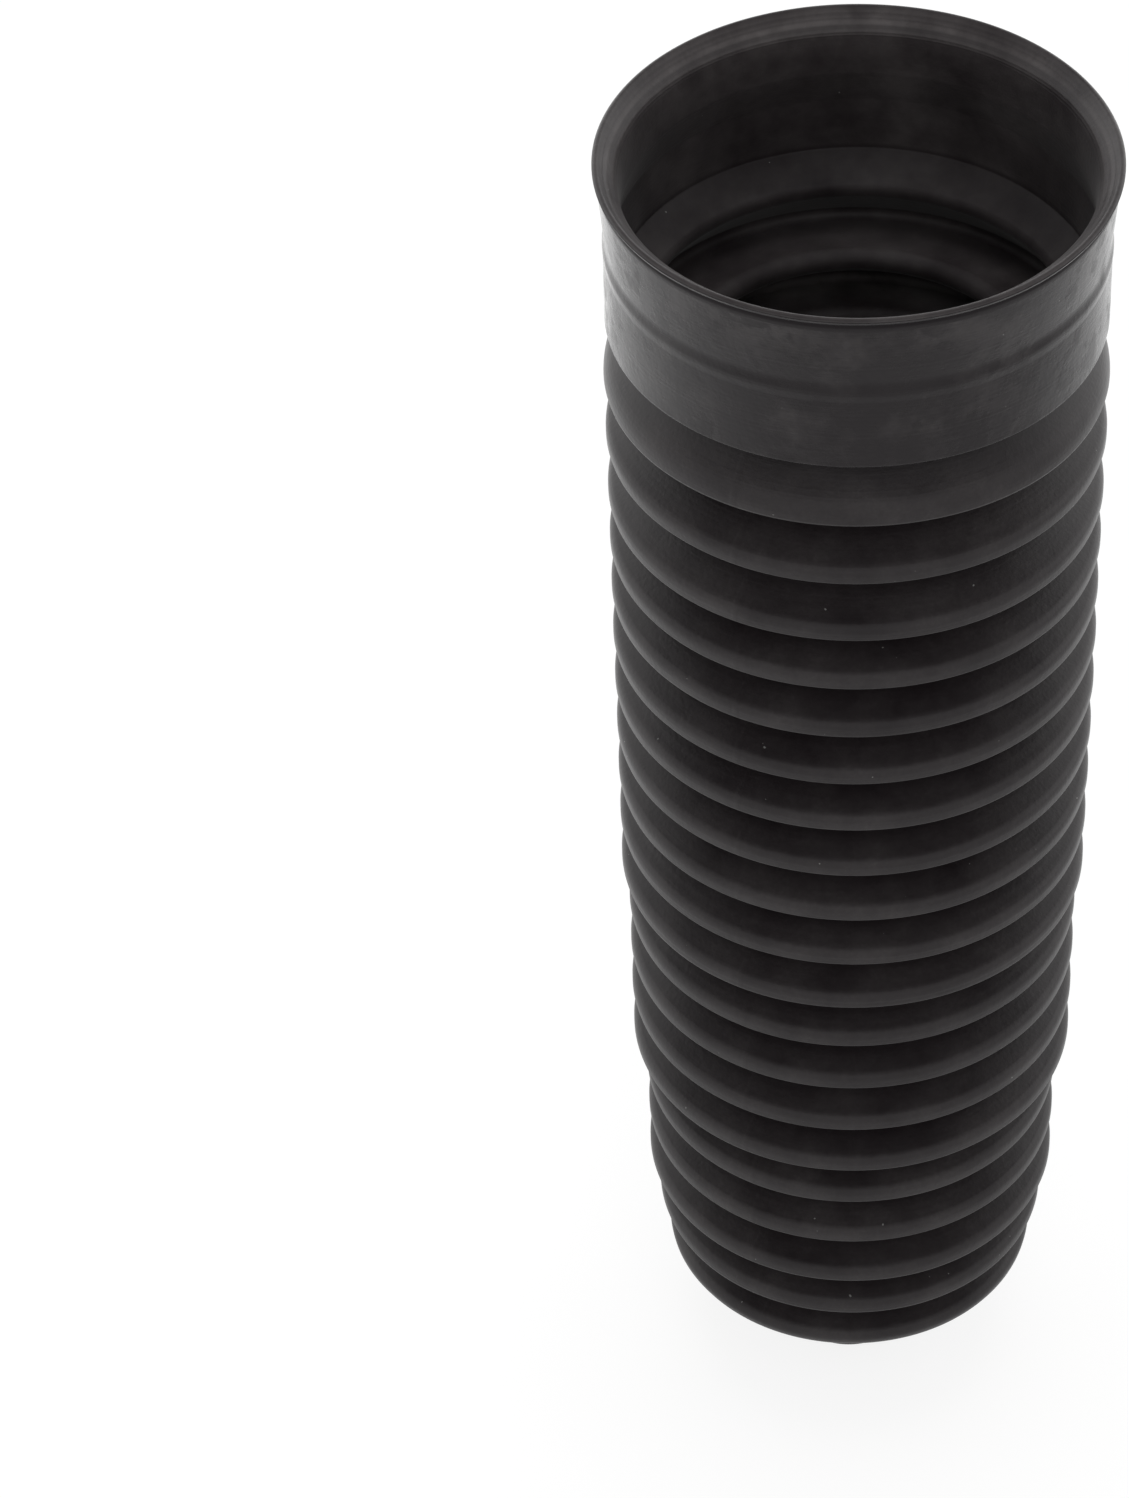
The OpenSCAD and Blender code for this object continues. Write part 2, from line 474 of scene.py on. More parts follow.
def crossing(a: Point, b: Point, c: Point, d: Point) -> Point:
    """Find where the line through a and b crosses the line through c and d.

    Args:
        a, b: Two points of the first line.
        c, d: Two points of the second line.

    Returns:
        The crossing point.
    """
    u, v, w = (b[0] - a[0], b[1] - a[1]), (d[0] - c[0], d[1] - c[1]), (c[0] - a[0], c[1] - a[1])
    share = (w[0] * v[1] - w[1] * v[0]) / (u[0] * v[1] - u[1] * v[0])
    return a[0] + u[0] * share, a[1] + u[1] * share


def unit(a: Point, b: Point) -> Point:
    """Return the direction from a to b."""
    run = hypot(b[0] - a[0], b[1] - a[1])
    return (b[0] - a[0]) / run, (b[1] - a[1]) / run


def inset(a: Point, b: Point, c: Point, depth: float) -> Point:
    """Move corner b of the path a-b-c to the rubber's other face.

    Args:
        a, b, c: The point before the corner, the corner and the point after it.
        depth: Thickness of the rubber.

    Returns:
        The corner on the other face.
    """
    u, v = unit(a, b), unit(b, c)
    share = depth / (1 + u[0] * v[0] + u[1] * v[1])
    return b[0] + (u[1] + v[1]) * share, b[1] - (u[0] + v[0]) * share


def half_angle(a: Point, b: Point, c: Point) -> float:
    """Return half the angle at b between a and c."""
    u, v = unit(b, a), unit(b, c)
    return acos(u[0] * v[0] + u[1] * v[1]) / 2


def rounded(path: list[Corner]) -> list[Corner]:
    """Turn each corner of a closed outline into an arc.

    Args:
        path: The corners.

    Returns:
        The outline's points, each with the zone and crest of its corner.
    """
    made: list[Corner] = []
    for i, corner in enumerate(path):
        a, b, c = path[i - 1][:2], corner[:2], path[(i + 1) % len(path)][:2]
        if corner.bend == 0:
            made.append(corner)
            continue
        u, v = unit(b, a), unit(b, c)
        half = half_angle(a, b, c)
        along = corner.bend / tan(half)
        reach = corner.bend / sin(half)
        out = unit((0, 0), (u[0] + v[0], u[1] + v[1]))
        centre = b[0] + out[0] * reach, b[1] + out[1] * reach
        p = b[0] + u[0] * along - centre[0], b[1] + u[1] * along - centre[1]
        q = b[0] + v[0] * along - centre[0], b[1] + v[1] * along - centre[1]
        start = atan2(p[1], p[0])
        turn = atan2(p[0] * q[1] - p[1] * q[0], p[0] * q[0] + p[1] * q[1])
        for k in range(corner.steps + 1):
            angle = start + turn * k / corner.steps
            spot = centre[0] + corner.bend * cos(angle), centre[1] + corner.bend * sin(angle)
            made.append(corner._replace(x=spot[0], z=spot[1]))
    return made


def set_input(modifier: bpy.types.NodesModifier, name: str, value: float) -> None:
    """Set a modifier's named input by its socket's identifier.

    Args:
        modifier: The modifier.
        name: The input's name.
        value: Its new value.
    """
    sockets = modifier.node_group.interface.items_tree
    found = next(s for s in sockets if s.name == name and s.in_out == "INPUT")
    modifier[found.identifier] = value


def plain_copy(source: bpy.types.Object, name: str) -> bpy.types.Object:
    """Turn an object's evaluated shape into a plain mesh of its own, facing outwards.

    Args:
        source: The object, with its modifiers.
        name: The new piece's name.

    Returns:
        The new piece.
    """
    bpy.context.view_layer.update()
    evaluated = source.evaluated_get(bpy.context.evaluated_depsgraph_get())
    mesh = bpy.data.meshes.new_from_object(evaluated)
    mesh.name = name
    work = bmesh.new()
    work.from_mesh(mesh)
    bmesh.ops.recalc_face_normals(work, faces=work.faces)
    work.to_mesh(mesh)
    work.free()
    piece = new_object(name, mesh)
    even = piece.modifiers.new("even_shading", "WEIGHTED_NORMAL")
    even.keep_sharp = True
    return piece


class TurnedTree:
    """The tree that turns a section's points into a closed ring of soft rubber.

    Its inputs take lengths in metres and angles in radians.

    Attributes:
        nodes, given: The tree's nodes, and its inputs.
        ring, turn: Which of the section's points each point of the grid takes, and its angle.
    """

    def __init__(self, name: str, material: bpy.types.Material) -> None:
        """Build the tree.

        Args:
            name: Its name.
            material: What the ring is made of.
        """
        self.nodes = Nodes(bpy.data.node_groups.new(name, "GeometryNodeTree"))
        sockets = {"Section": "Geometry", "Rings": "Int", "Segments": "Int"}
        for label in ("Unevenness", "Lean", "Lean way", "Lean top", "Lean pivot", "Lean foot", "Seed"):
            sockets[label] = "Float"
        face = self.nodes.tree.interface
        for label, kind in sockets.items():
            face.new_socket(label, in_out="INPUT", socket_type="NodeSocket" + kind)
        face.new_socket("Rubber", in_out="OUTPUT", socket_type="NodeSocketGeometry")
        self.given = self.nodes.add("NodeGroupInput").outputs
        self.ring, self.turn = self.ring_and_turn()
        rubber = self.dressed(self.marked(self.placed(self.grid())), material)
        self.nodes.join(rubber, self.nodes.add("NodeGroupOutput").inputs["Rubber"])

    def ring_and_turn(self) -> tuple[Socket, Socket]:
        """Work out each point's place in the grid from its number.

        Returns:
            The number of its ring, where the last row is the first ring again, and its angle.
        """
        nodes, given = self.nodes, self.given
        index = nodes.add("GeometryNodeInputIndex").outputs[0]
        across = nodes.plus(given["Segments"], 1.0)
        row = nodes.math("FLOOR", nodes.math("DIVIDE", nodes.plus(index, 0.5), across))
        step = nodes.math("SUBTRACT", index, nodes.times(row, across))
        turn = nodes.math("DIVIDE", nodes.times(step, 2 * pi), given["Segments"])
        return nodes.math("MODULO", row, given["Rings"]), turn

    def grid(self) -> Socket:
        """Lay a flat grid with one row for each ring and one more, so that its ends meet."""
        counts = (self.nodes.plus(self.given[label], 1.0) for label in ("Rings", "Segments"))
        return self.nodes.add("GeometryNodeMeshGrid", None, None, *counts).outputs["Mesh"]

    def of_section(self, kind: str, value: Socket) -> Socket:
        """Read a value of a kind from the section, at the ring's own point."""
        given = self.given["Section"], value, self.ring
        return self.nodes.add("GeometryNodeSampleIndex", *given, data_type=kind, domain="POINT").outputs[0]

    def placed(self, shape: Socket) -> Socket:
        """Turn the section's points round the axis, let the wall stray and lean the mouth.

        Args:
            shape: The flat grid.

        Returns:
            The turned shape.
        """
        nodes, given = self.nodes, self.given
        flat = self.of_section("FLOAT_VECTOR", nodes.add("GeometryNodeInputPosition").outputs[0])
        spin = nodes.add("ShaderNodeVectorRotate", flat, None, None, self.turn, rotation_type="Z_AXIS")
        x, y, z = nodes.parts(spin.outputs[0])
        uneven = nodes.noise(spin.outputs[0], SOFT_WALL, given["Seed"])
        stray = nodes.about(uneven, nodes.times(given["Unevenness"], 4.0))
        reach = nodes.math("SQRT", nodes.math("MULTIPLY_ADD", x, x, nodes.times(y, y)))
        grow = nodes.plus(nodes.math("DIVIDE", stray, reach), 1.0)
        tilt = nodes.times(nodes.fade(z, given["Lean foot"], given["Lean top"]), given["Lean"])
        push = nodes.times(tilt, nodes.math("SUBTRACT", z, given["Lean pivot"]))
        level = []
        sink: object = 0.0
        for part, wave in ((x, "COSINE"), (y, "SINE")):
            way = nodes.math(wave, given["Lean way"])
            grown = nodes.times(part, grow)
            level.append(nodes.math("MULTIPLY_ADD", push, way, grown))
            sink = nodes.math("MULTIPLY_ADD", grown, way, sink)
        height = nodes.math("SUBTRACT", z, nodes.times(sink, tilt))
        place = nodes.add("ShaderNodeCombineXYZ", *level, height).outputs[0]
        return nodes.add("GeometryNodeSetPosition", shape, None, place).outputs[0]

    def marked(self, shape: Socket) -> Socket:
        """Keep the section's zone and crest on the turned shape.

        Args:
            shape: The turned shape.

        Returns:
            The shape with both attributes.
        """
        add = self.nodes.add
        for label in ("zone", "crest"):
            named = add("GeometryNodeInputNamedAttribute", label, data_type="FLOAT").outputs[0]
            kept = shape, None, label, self.of_section("FLOAT", named)
            mark = add("GeometryNodeStoreNamedAttribute", *kept, data_type="FLOAT", domain="POINT")
            shape = mark.outputs[0]
        return shape

    def dressed(self, shape: Socket, material: bpy.types.Material) -> Socket:
        """Weld the ends, smooth the shape, realize it and give it its material.

        Args:
            shape: The shape.
            material: What it is made of.

        Returns:
            The finished shape.
        """
        for kind, *given in (
            ("GeometryNodeMergeByDistance", None, WELD),
            ("GeometryNodeSetShadeSmooth",),
            ("GeometryNodeRealizeInstances",),
            ("GeometryNodeSetMaterial", None, material),
        ):
            shape = self.nodes.add(kind, shape, *given).outputs[0]
        return shape


@dataclass
class BellowsBoot:
    """The boot, turned from one section about the Z axis. Sizes are in millimetres.

    Attributes:
        finish: The rubber's finish.
        segments: Number of steps round the boot.
        unevenness, seed: How far the soft wall strays from a true circle, and the seed of that.
        lean, lean_way: How far the mouth leans on the soft folds and which way round the axis, in degrees.
        lean_folds, seen_folds: How many folds give way to the lean, and how many show their inside.
        bore_r: Radius of the collar's bore.
        seal_h, seal_land: How far the sealing bead stands into the bore, and height of its crest.
        seal_foot, seal_r: Height of the slope under it, and radius at both ends of that slope.
        lead_h, lead_w, lead_r: Height and widening of the lead-in over it, and radius between them.
        rim_t, rim_h, rim_turn: Thickness and height of the rim, and radius of its lower edge.
        lip_slope, lip_w: Slope of the lip on the rim, in degrees, and its width.
        lip_r, lip_turn: Radius of the lip's outer edge, and of its turn into the lead-in.
        crease_w, crease_h: Width and height of the narrow crease under the rim.
        crease_shade_reach: How far under the rim the crease's painted shade and roughness have ended.
        seat_w, seat_t, seat_turn: Height of the seat under the rim, and thickness and radius at its foot.
        seat_flare: How much the seat widens up to the rim.
        collar_t, collar_h: Thickness of the collar, and its height up to the shoulder bead.
        bead_h, bead_w, bead_turn: How far the shoulder bead stands out, its height and its radius.
        ledge_slope, ledge_r: Slope of the ledge inside the collar, in degrees, and its outer radius.
        ledge_fade: How far over the ledge its finish has ended.
        wall: Thickness of the folds.
        main_r, mid_r, low_r: Radius of the first main, middle and lower fold.
        main_folds, mid_folds, low_folds: Numbers of those folds.
        draft: Drop in radius from one fold to the next of the same kind.
        end_step, end_folds: Further drop at each of the tapering end folds, and their number.
        wide_pitch, wide_folds: Spacing and number of the wider folds under the collar.
        pitch, fold_depth: Spacing of the other folds, and depth from a crest to its root's corner.
        first_depth, first_drop: Depth of the first root inside the collar's edge, and drop under it.
        root_rise: How far a root lies over the crest's edge that overhangs it.
        band_h, shoulder_h: Height of a crest's upright band, and how much of it the shoulder takes up.
        first_band_h, first_shoulder_h: The same for the first fold.
        edge_r, root_r, hollow_r: Radius of lower edges, outside at a root, and inside behind a crest.
        cuff_bore_r, bore_turn: Radius of the cuff's bore, and of its turn into the end wall.
        groove_t, groove_lip, groove_w: Thickness of the cuff in its groove, the groove's depth and width.
        cuff_bead, cuff_r: Height of the cuff's two end beads, and radius of its corners.
        end_h, end_r: Height of the sloping end wall, and radius of its turn into the last fold.
        folds, cuff_h: Number of all folds, and height of the cuff.
        collar_z, top_z: Heights of the collar's lower edge and of the boot's top.
    """

    finish: RubberFinish
    segments: int = 180
    unevenness: float = 0.1
    seed: float = 5.0
    lean: float = 0.9
    lean_way: float = -85.0
    lean_folds: int = 2
    seen_folds: int = 4
    bore_r: float = 38.9
    seal_h: float = 1.35
    seal_land: float = 4.8
    seal_foot: float = 6.0
    seal_r: float = 3.0
    lead_h: float = 6.1
    lead_w: float = 2.7
    lead_r: float = 24.0
    rim_t: float = 1.6
    rim_h: float = 1.4
    rim_turn: float = 0.95
    lip_slope: float = 42.5
    lip_w: float = 3.65
    lip_r: float = 0.6
    lip_turn: float = 4.0
    crease_w: float = 0.3
    crease_h: float = 0.5
    # How far the crease's painted shade reaches under the rim.
    crease_shade_reach: float = 1.5
    seat_w: float = 12.6
    seat_t: float = 1.4
    seat_flare: float = 0.9
    seat_turn: float = 5.0
    collar_t: float = 1.6
    collar_h: float = 14.7
    bead_h: float = 0.15
    bead_w: float = 3.2
    bead_turn: float = 4.0
    ledge_slope: float = 41.0
    ledge_r: float = 0.5
    ledge_fade: float = 1.0
    wall: float = 1.3
    main_r: float = 40.95
    main_folds: int = 11
    mid_r: float = 39.2
    mid_folds: int = 4
    low_r: float = 36.85
    low_folds: int = 3
    draft: float = 0.06
    end_step: float = 1.65
    end_folds: int = 2
    wide_pitch: float = 11.9
    wide_folds: int = 3
    pitch: float = 10.3
    fold_depth: float = 15.2
    first_depth: float = 5.6
    band_h: float = 2.9
    root_rise: float = 2.0
    first_drop: float = 1.5
    shoulder_h: float = 1.25
    first_band_h: float = 3.3
    first_shoulder_h: float = 2.6
    edge_r: float = 0.5
    root_r: float = 0.8
    hollow_r: float = 1.2
    cuff_bore_r: float = 8.5
    groove_t: float = 1.7
    groove_lip: float = 1.0
    groove_w: float = 7.0
    cuff_bead: float = 2.6
    cuff_r: float = 0.5
    bore_turn: float = 1.0
    end_h: float = 12.7
    end_r: float = 2.2
    folds: int = field(init=False)
    cuff_h: float = field(init=False)
    collar_z: float = field(init=False)
    top_z: float = field(init=False)

    def __post_init__(self) -> None:
        """Work out the heights that follow from the others."""
        self.folds = self.main_folds + self.mid_folds + self.low_folds + self.end_folds
        self.cuff_h = 2 * self.cuff_bead + self.groove_w
        stack = self.wide_folds * self.wide_pitch + (self.folds - self.wide_folds) * self.pitch
        self.collar_z = self.cuff_h + self.end_h + stack
        self.top_z = self.collar_z + self.collar_h + self.bead_w / 2 + self.seat_w + self.rim_h

    def crest(self, k: int) -> float:
        """Work out a fold's crest radius.

        Args:
            k: The fold's number, counted from the collar down.

        Returns:
            The radius.
        """
        upper = self.main_folds + self.mid_folds
        if k <= self.main_folds:
            return self.main_r - self.draft * (k - 1)
        if k <= upper:
            return self.mid_r - self.draft * (k - self.main_folds - 1)
        end = max(k - upper - self.low_folds, 0)
        return self.low_r - self.draft * (k - upper - 1) - self.end_step * end

    def edge(self, k: int) -> Point:
        """Return fold k's lower edge."""
        wide = min(k, self.wide_folds)
        return self.crest(k), self.collar_z - self.wide_pitch * wide - self.pitch * (k - wide)

    def root(self, k: int) -> Point:
        """Find the outer corner of the root above a fold.

        Args:
            k: The fold's number, or one more than the last's for the top of the cuff.

        Returns:
            The corner.
        """
        if k == 1:
            return self.bore_r + self.collar_t - self.first_depth, self.collar_z - self.first_drop
        if k > self.folds:
            return self.cuff_bore_r + self.groove_t + self.groove_lip, self.cuff_h
        return self.crest(k) - self.fold_depth, self.edge(k - 1)[1] + self.root_rise

    def shoulder(self, k: int) -> Point:
        """Return the corner between fold k's flank and its band."""
        x, z = self.edge(k)
        return x, z + (self.first_band_h if k == 1 else self.band_h)

    def tip(self, k: int) -> Point:
        """Return where fold k would end if its flank and underside ran on past the band."""
        return crossing(self.root(k), self.shoulder(k), self.root(k + 1), self.edge(k))

    def peak(self) -> float:
        """Return the height at which the lip's slope would meet the rim's outer face."""
        half = (pi / 2 - radians(self.lip_slope)) / 2
        return self.top_z + self.lip_r * (1 / tan(half) - 1)

    def mouth_outside(self) -> list[Corner]:
        """Return the outside of the mouth and collar, from the rim down."""
        rim_r = self.bore_r - self.seal_h + self.lead_w + self.rim_t
        rim_z = self.top_z - self.rim_h
        seat_r = self.bore_r + self.seat_t
        neck_r = seat_r + self.seat_flare
        collar_r = self.bore_r + self.collar_t
        bead_z = self.collar_z + self.collar_h
        return [
            Corner(rim_r, self.peak(), self.lip_r, Zone.RIM, steps=8),
            Corner(rim_r, rim_z + self.crease_w, self.rim_turn, Zone.COLLAR, steps=5),
            # These two points carry the crease's painted shade.
            Corner(neck_r - self.crease_w, rim_z, 0, Zone.CREASE),
            Corner(neck_r, rim_z - self.crease_h, 0, Zone.CREASE),
            Corner(neck_r, rim_z - self.crease_shade_reach, 0, Zone.COLLAR),
            Corner(seat_r, bead_z + self.bead_w / 2, self.seat_turn, Zone.COLLAR, steps=4),
            Corner(collar_r + self.bead_h, bead_z, self.bead_turn, Zone.COLLAR, steps=4),
            Corner(collar_r, bead_z - self.bead_w / 2, self.bead_turn, Zone.COLLAR),
            Corner(collar_r, self.collar_z, self.edge_r, Zone.COLLAR, steps=4),
        ]

    def folds_outside(self) -> list[Corner]:
        """Return the outside of the folds, from the collar down."""
        made: list[Corner] = []
        for k in range(1, self.folds + 1):
            root, shoulder, edge = self.root(k), self.shoulder(k), self.edge(k)
            length = self.first_shoulder_h if k == 1 else self.shoulder_h
            bend = length * tan(half_angle(root, shoulder, edge))
            made.append(Corner(*root, self.root_r, steps=3))
            made.append(Corner(*shoulder, bend, crest=1.0, steps=8 if k == 1 else 4))
            made.append(Corner(*edge, self.end_r if k == self.folds else self.edge_r, crest=1.0, steps=3))
        return made

    def cuff(self) -> list[Corner]:
        """Return the cuff, down its outside and up its bore to the end wall."""
        top = self.cuff_h - self.cuff_bead
        bore_r = self.cuff_bore_r
        groove_r = bore_r + self.groove_t
        bead_r = groove_r + self.groove_lip
        a, b, c = self.root(self.folds), self.tip(self.folds), self.root(self.folds + 1)
        p = inset(a, b, c, self.wall)
        foot = crossing(p, (p[0] + c[0] - b[0], p[1] + c[1] - b[1]), (bore_r, 0), (bore_r, 1))
        ring = [(bead_r, self.cuff_h), (bead_r, top), (groove_r, top), (groove_r, self.cuff_bead)]
        ring += [(bead_r, self.cuff_bead), (bead_r, 0.0), (bore_r, 0.0)]
        return [Corner(*spot, self.cuff_r) for spot in ring] + [Corner(*foot, self.bore_turn, Zone.HOLLOW)]

    def folds_inside(self) -> list[Corner]:
        """Return the inside of the folds, from the cuff up."""
        made: list[Corner] = []
        slope = radians(self.ledge_slope)
        for k in range(self.folds, 0, -1):
            root, tip, below = self.root(k), self.tip(k), self.root(k + 1)
            above = (root[0] + cos(slope), root[1] + sin(slope)) if k == 1 else self.tip(k - 1)
            bend = self.end_r - self.wall if k == self.folds else self.hollow_r
            # The deeper folds' inside takes painted light, which lifts their shade.
            zone = Zone.HOLLOW if k == 1 else Zone.DEEP_PAINTED_LIGHT
            seen = k <= self.seen_folds
            hollow = inset(root, tip, below, self.wall)
            ridge = inset(above, root, tip, self.wall)
            made.append(Corner(*hollow, bend, zone, steps=5 if seen else 2))
            made.append(Corner(*ridge, self.root_r + self.wall, Zone.HOLLOW, steps=8 if seen else 3))
        return made

    def mouth_inside(self) -> list[Corner]:
        """Return the bore of the collar, its sealing bead, the lead-in and the lip, going up."""
        slope = radians(self.ledge_slope)
        p = self.folds_inside()[-1][:2]
        ledge = crossing(p, (p[0] + cos(slope), p[1] + sin(slope)), (self.bore_r, 0), (self.bore_r, 1))
        seal_r = self.bore_r - self.seal_h
        seal_top = self.top_z - self.lead_h
        seal_foot = seal_top - self.seal_land
        lip_r = seal_r + self.lead_w + self.rim_t - self.lip_w
        lip_z = self.peak() - self.lip_w * tan(radians(self.lip_slope))
        return [
            Corner(*ledge, self.ledge_r, Zone.LEDGE, steps=3),
            Corner(self.bore_r, ledge[1] + self.ledge_fade, 0, Zone.BORE),
            Corner(self.bore_r, seal_foot - self.seal_foot, self.seal_r, Zone.BORE),
            Corner(seal_r, seal_foot, self.seal_r, Zone.BORE, steps=4),
            Corner(seal_r, seal_top, self.lead_r, Zone.BORE, steps=6),
            Corner(lip_r, lip_z, self.lip_turn, Zone.LIP, steps=6),
        ]

    def section(self) -> list[Corner]:
        """Return the whole section, rounded, once round."""
        outside = self.mouth_outside() + self.folds_outside()
        return rounded(outside + self.cuff() + self.folds_inside() + self.mouth_inside())

    def section_mesh(self) -> bpy.types.Mesh:
        """Draw the section as a mesh of points that carry their zone and crest.

        Returns:
            The mesh.
        """
        spots = self.section()
        mesh = bpy.data.meshes.new("boot_section")
        mesh.from_pydata([(spot.x * MM, 0.0, spot.z * MM) for spot in spots], [], [])
        marks = {"zone": [spot.zone.value for spot in spots], "crest": [spot.crest for spot in spots]}
        for name, values in marks.items():
            mesh.attributes.new(name, "FLOAT", "POINT").data.foreach_set("value", values)
        return mesh

    def build(self) -> bpy.types.Object:
        """Turn the section into the finished boot.

        Returns:
            The boot's object, a plain mesh.
        """
        mesh = self.section_mesh()
        source = new_object("boot_section", mesh)
        modifier = source.modifiers.new("turned_rubber", "NODES")
        modifier.node_group = TurnedTree("turned_rubber", self.finish.material()).nodes.tree
        inputs = {
            "Rings": len(mesh.vertices),
            "Segments": self.segments,
            "Unevenness": self.unevenness * MM,
            "Lean": radians(self.lean),
            "Lean way": radians(self.lean_way),
            "Lean top": self.top_z * MM,
            "Lean pivot": self.collar_z * MM,
            "Lean foot": self.edge(self.lean_folds)[1] * MM,
            "Seed": self.seed,
        }
        for name, value in inputs.items():
            set_input(modifier, name, value)
        piece = plain_copy(source, "boot_rubber")
        bpy.data.objects.remove(source)
        LOG.info("boot_rubber: %d rings of %d points", len(mesh.vertices), self.segments)
        return piece


@dataclass(frozen=True)
class PaleFloor:
    """A wide pale floor that looks white to the camera and in the rubber, and keeps the shadow.

    Attributes:
        reach: How far it reaches from the boot's axis, in metres.
        grey, rough, gloss: Its colour, roughness and specular level where it throws light on the boot.
        shadow_grey: Its colour under the lamps where the camera sees it.
        own_light, far: Light that it adds there near the boot and far off, and those distances, in metres.
        painted_light_slope: Painted light that brightens its image in the rubber to the right and to the
            back, per metre.
        painted_shadow, painted_shadow_ends: How much a painted shadow darkens that image at the boot's foot,
            and distances where that ends.
        limits: Least and greatest brightness of that image.
    """

    reach: float = 3.0
    grey: float = 0.9
    rough: float = 0.9
    gloss: float = 0.1
    shadow_grey: float = 0.21
    own_light: Point = (0.835, 1.0)
    far: Point = (0.5, 1.5)
    # Painted light: the floor's image in the rubber brightens to the right and to the back.
    painted_light_slope: Point = (-0.5, 1.0)
    # Painted shadow of the boot on the floor's image in the rubber, near its foot.
    painted_shadow: float = 0.25
    painted_shadow_ends: Point = (0.04, 0.26)
    limits: Point = (0.66, 1.35)

    def build(self) -> None:
        """Lay the floor."""
        mesh = bpy.data.meshes.new("floor")
        corners = [(x * self.reach, y * self.reach, 0.0) for x, y in ((-1, -1), (1, -1), (1, 1), (-1, 1))]
        mesh.from_pydata(corners, [], [(0, 1, 2, 3)])
        mesh.materials.append(self.material())
        new_object("floor", mesh)

    def material(self) -> bpy.types.Material:
        """Build the floor's material, which differs for the camera, for the rubber and for plain light.

        Returns:
            The material.
        """
        made, tree = new_material("pale_floor")
        matt = tree.find("ShaderNodeBsdfPrincipled")
        matt.inputs["Base Color"].default_value = (*[self.grey] * 3, 1.0)
        matt.inputs["Roughness"].default_value = self.rough
        matt.inputs["Specular IOR Level"].default_value = self.gloss
        place = tree.add("ShaderNodeTexCoord").outputs["Object"]
        away = tree.add("ShaderNodeVectorMath", place, operation="LENGTH").outputs["Value"]
        path = tree.add("ShaderNodeLightPath").outputs
        surface = matt.outputs[0]
        # The floor's image in the rubber: its even white, with painted light across it and a painted shadow
        # at the boot's foot.
        floor_image_with_painted_light = tree.glow(self.image(tree, place, away))
        for ray, shown in (("Is Glossy Ray", floor_image_with_painted_light), ("Is Camera Ray", self.seen(tree, away))):
            surface = tree.add("ShaderNodeMixShader", path[ray], surface, shown).outputs[0]
        tree.join(surface, tree.find("ShaderNodeOutputMaterial").inputs["Surface"])
        return made

    def seen(self, tree: Nodes, away: Socket) -> Socket:
        """Build the white that the camera sees, with the boot's soft shadow.

        Args:
            tree: The material's nodes.
            away: Distance from the axis.

        Returns:
            The shader.
        """
        lit = tree.add("ShaderNodeBsdfDiffuse", (*[self.shadow_grey] * 3, 1.0))
        glow = tree.glow(tree.mix(tree.fade(away, *self.far), *self.own_light))
        return tree.add("ShaderNodeAddShader", lit.outputs[0], glow).outputs[0]

    def image(self, tree: Nodes, place: Socket, away: Socket) -> Socket:
        """Build the brightness of the floor's image in the rubber, with painted light across it and a
        painted shadow at the boot's foot.

        Args:
            tree: The material's nodes.
            place, away: The Object coordinates, and the distance from the axis.

        Returns:
            The brightness.
        """
        x, y, _ = tree.parts(place)
        # Painted light across the floor's image.
        across, back = self.painted_light_slope
        slope = tree.math("MULTIPLY_ADD", x, across, tree.math("MULTIPLY_ADD", y, back, 1.0))
        # Painted shadow at the boot's foot.
        painted_shadow = tree.math("MULTIPLY_ADD", tree.fade(away, *self.painted_shadow_ends), self.painted_shadow, -self.painted_shadow)
        least, most = self.limits
        return tree.math("MAXIMUM", tree.math("MINIMUM", tree.plus(slope, painted_shadow), most), least)


class Lamp(NamedTuple):
    """A round soft lamp: its name, its place and width in metres, and its power in watts."""

    name: str
    place: Triple
    size: float
    power: float


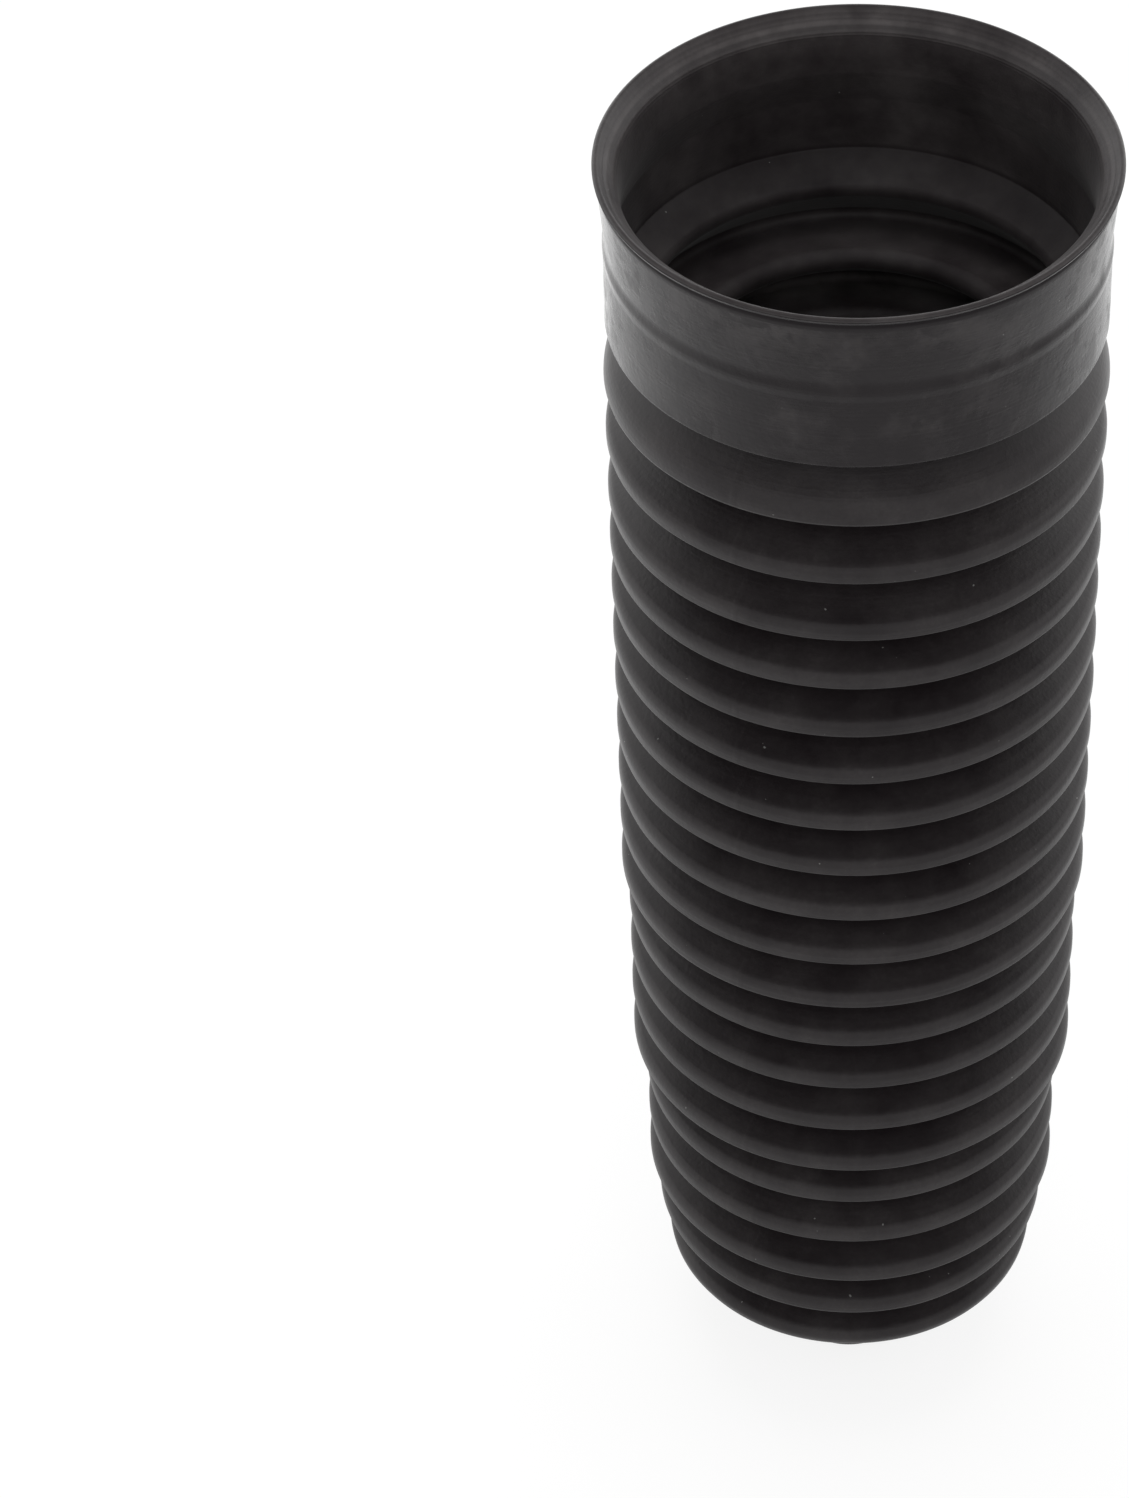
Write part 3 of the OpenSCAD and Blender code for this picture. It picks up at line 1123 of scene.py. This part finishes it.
@dataclass(frozen=True)
class SoftRoom:
    """White walls under a dim ceiling, and two soft lamps.

    Attributes:
        lamps, aim: The lamps, and the height that they aim at, in metres.
        walls: Brightness of the walls where they light the boot.
        before, behind: Brightness of their image in the rubber, from -1 straight down to 1 straight up.
        turn: Where along y one goes over into the other.
    """

    lamps: tuple[Lamp, ...] = (
        Lamp("top_lamp", (0.0, 0.25, 1.6), 1.2, 9.0),
        Lamp("front_lamp", (0.2, -1.4, 1.5), 1.2, 7.0),
    )
    aim: float = 0.13
    walls: float = 0.55
    before: tuple[Point, ...] = (
        *((-1.0, 0.8), (0.3, 0.8), (0.5, 0.6), (0.62, 0.35)),
        *((0.72, 0.08), (0.95, 0.05), (1.0, 0.3)),
    )
    behind: tuple[Point, ...] = ((-1.0, 1.5), (0.5, 1.5), (0.7, 0.3), (0.95, 0.1), (1.0, 0.3))
    turn: Point = (-0.3, 0.3)

    def build(self) -> None:
        """Hang the lamps and set up the walls."""
        for lamp in self.lamps:
            self.hang(lamp)
        self.world()

    def hang(self, lamp: Lamp) -> None:
        """Hang one lamp, aimed at the boot.

        Args:
            lamp: The lamp.
        """
        light = bpy.data.lights.new(lamp.name, "AREA")
        light.shape = "DISK"
        light.size = lamp.size
        light.energy = lamp.power
        made = new_object(lamp.name, light)
        made.location = lamp.place
        ahead = Vector((0, 0, self.aim)) - Vector(lamp.place)
        made.rotation_euler = ahead.to_track_quat("-Z", "Y").to_euler()
        made.visible_glossy = False

    def world(self) -> None:
        """Surround the boot with walls that are white to the camera."""
        made = bpy.data.worlds.new("studio")
        bpy.context.scene.world = made
        made.use_nodes = True
        tree = Nodes(made.node_tree)
        path = tree.add("ShaderNodeLightPath").outputs
        _, y, z = tree.parts(tree.add("ShaderNodeTexCoord").outputs["Generated"])
        image = tree.mix(tree.fade(y, *self.turn), tree.ramp(z, self.before), tree.ramp(z, self.behind))
        light = tree.mix(path["Is Glossy Ray"], self.walls, image)
        seen = tree.math("MAXIMUM", path["Is Camera Ray"], path["Is Transmission Ray"])
        light = tree.mix(seen, light, 1.0)
        sky = tree.find("ShaderNodeBackground")
        tree.join(tree.add("ShaderNodeCombineColor", light, light, light).outputs[0], sky.inputs["Color"])
        sky.inputs["Strength"].default_value = 1.0


@dataclass(frozen=True)
class PhotoCamera:
    """The camera, where the photograph was taken from.

    Attributes:
        distance, height: How far before the boot's axis and how high it stands, in metres.
        pitch, yaw, roll: How far it looks down, is turned and is rolled, in degrees.
        focal_px: Its focal length in pixels of the photograph.
        frame_px, centre_px: The photograph's width and height, and where the camera's axis meets it.
        sensor: Width of its sensor, in millimetres.
        near, far: Nearest and farthest distance that it sees, in metres.
    """

    distance: float = 0.6873
    height: float = 0.7553
    pitch: float = 41.749
    yaw: float = -4.122
    roll: float = -2.267
    focal_px: float = 5338.0
    frame_px: Point = (1129.0, 1498.0)
    centre_px: Point = (566.2, 749.0)
    sensor: float = 36.0
    near: float = 0.05
    far: float = 20.0

    def build(self) -> None:
        """Set up the camera and look through it."""
        lens = bpy.data.cameras.new("camera")
        lens.sensor_fit = "AUTO"
        lens.sensor_width = self.sensor
        long_side = max(self.frame_px)
        lens.lens = self.focal_px * self.sensor / long_side
        lens.shift_x = (self.frame_px[0] / 2 - self.centre_px[0]) / long_side
        lens.shift_y = (self.centre_px[1] - self.frame_px[1] / 2) / long_side
        lens.clip_start = self.near
        lens.clip_end = self.far
        made = new_object("camera", lens)
        made.matrix_world = Matrix.Translation((0, -self.distance, self.height)) @ self.facing()
        bpy.context.scene.camera = made

    def facing(self) -> Matrix:
        """Work out the camera's three axes.

        Returns:
            Its rotation.
        """
        down, turn, tilt = radians(self.pitch), radians(self.yaw), radians(self.roll)
        right = Vector((cos(turn), -sin(turn), 0))
        ahead = Vector((sin(turn) * cos(down), cos(turn) * cos(down), -sin(down)))
        up = right.cross(ahead)
        axis_x = cos(tilt) * right + sin(tilt) * up
        axis_y = -sin(tilt) * right + cos(tilt) * up
        return Matrix((axis_x, axis_y, -ahead)).transposed().to_4x4()


def main() -> None:
    """Build the boot, the floor, the room and the camera."""
    logging.basicConfig(level=logging.INFO, format="%(name)s %(message)s")
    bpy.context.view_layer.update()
    scene = bpy.context.scene
    scene.view_settings.view_transform = "Standard"
    boot = BellowsBoot(RubberFinish("moulded_rubber")).build()
    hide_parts("boot")
    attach(boot, "root")
    for part in (PaleFloor(), SoftRoom(), PhotoCamera()):
        part.build()


if __name__ == "__main__":
    main()
